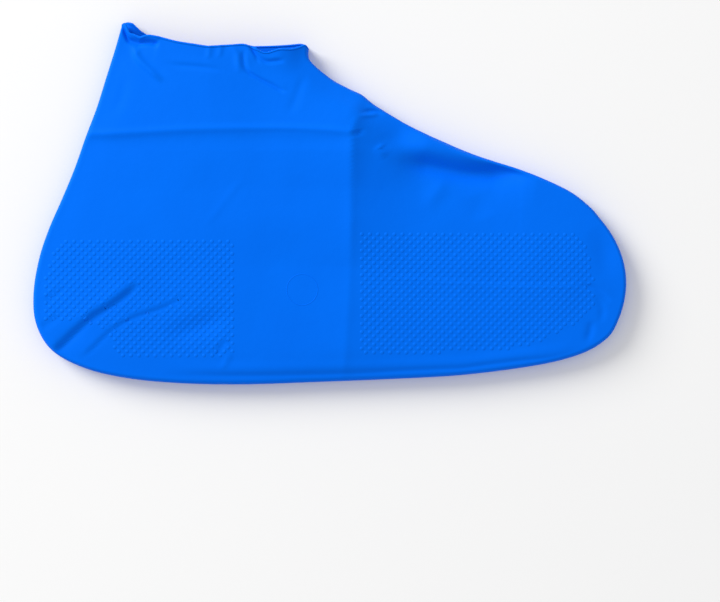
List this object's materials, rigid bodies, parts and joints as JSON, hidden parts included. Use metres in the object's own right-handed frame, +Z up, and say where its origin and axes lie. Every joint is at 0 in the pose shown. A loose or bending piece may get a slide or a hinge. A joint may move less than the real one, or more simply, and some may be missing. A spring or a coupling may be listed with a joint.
{
  "type": "shoe cover",
  "caption": "Stretch-on waterproof shoe cover of blue dip-moulded latex, lying flat on its side: a hollow foot shape with an open ankle and tread dots on the heel and forefoot.",
  "frame": {"origin": "on the resting surface, under the middle of the cover's footprint", "axes": "+X towards the toe, +Y towards the ankle opening, +Z up from the resting surface through the flattened thickness"},
  "size_m": [0.2698, 0.1638, 0.0154],
  "materials": {
    "latex": "soft low-gloss dip-moulded latex"
  },
  "bodies": {
    "root": {"cover_shell": "latex"}
  },
  "joints": []
}
